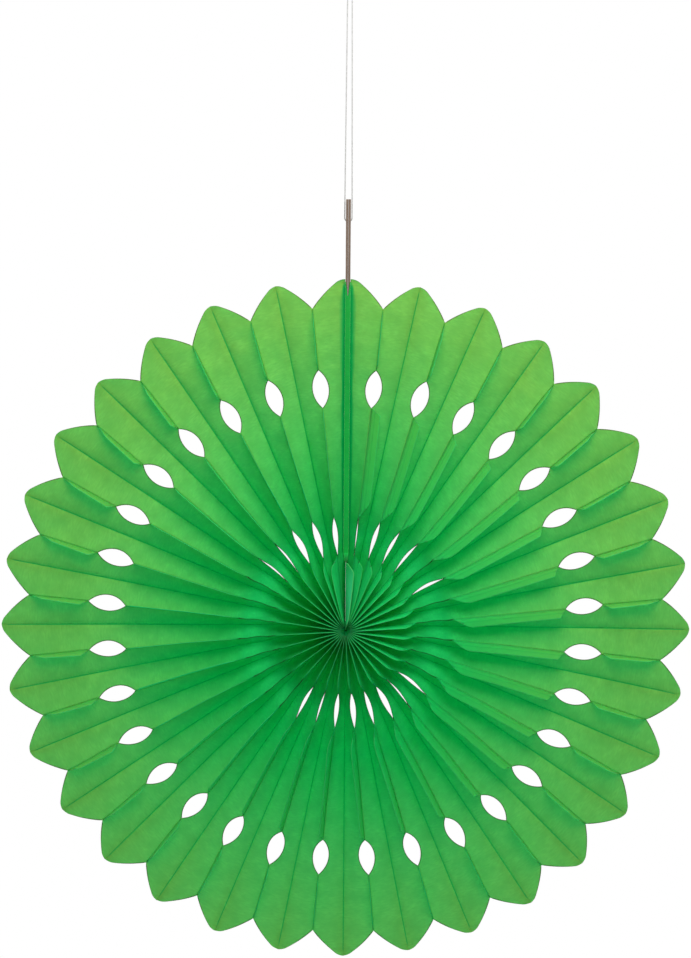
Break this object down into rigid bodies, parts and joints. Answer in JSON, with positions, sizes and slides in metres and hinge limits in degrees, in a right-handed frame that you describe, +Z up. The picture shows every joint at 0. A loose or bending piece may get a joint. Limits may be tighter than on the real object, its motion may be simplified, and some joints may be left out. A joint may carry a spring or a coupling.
{
  "type": "hanging paper fan medallion",
  "caption": "Round fan medallion of glued tissue-paper pleats with a scalloped rim and die-cut openings, hung by a thread loop from its card strips.",
  "frame": {"origin": "inside of the top of the thread loop, where the medallion hangs, straight above the hub", "axes": "+Z up, -Y towards the viewer of the front face, +X to the viewer's right"},
  "size_m": [0.4064, 0.0308, 0.573],
  "materials": {
    "tissue_paper": "bright green tissue paper, matt, slightly translucent",
    "kraft_card": "brown kraft board, matt",
    "cotton_thread": "off-white twisted thread"
  },
  "bodies": {
    "root": {"pleat_01": "tissue_paper", "pleat_02": "tissue_paper", "pleat_03": "tissue_paper", "pleat_04": "tissue_paper", "pleat_05": "tissue_paper", "pleat_06": "tissue_paper", "pleat_07": "tissue_paper", "pleat_08": "tissue_paper", "pleat_09": "tissue_paper", "pleat_10": "tissue_paper", "pleat_11": "tissue_paper", "pleat_12": "tissue_paper", "pleat_13": "tissue_paper", "pleat_14": "tissue_paper", "pleat_15": "tissue_paper", "pleat_16": "tissue_paper", "pleat_17": "tissue_paper", "pleat_18": "tissue_paper", "pleat_19": "tissue_paper", "pleat_20": "tissue_paper", "pleat_21": "tissue_paper", "pleat_22": "tissue_paper", "pleat_23": "tissue_paper", "pleat_24": "tissue_paper", "pleat_25": "tissue_paper", "pleat_26": "tissue_paper", "pleat_27": "tissue_paper", "pleat_28": "tissue_paper", "pleat_29": "tissue_paper", "pleat_30": "tissue_paper", "pleat_31": "tissue_paper", "pleat_32": "tissue_paper", "seam_binding": "tissue_paper", "card_strip_left": "kraft_card", "card_strip_right": "kraft_card", "hanging_thread": "cotton_thread", "hub_tie": "cotton_thread"}
  },
  "joints": []
}
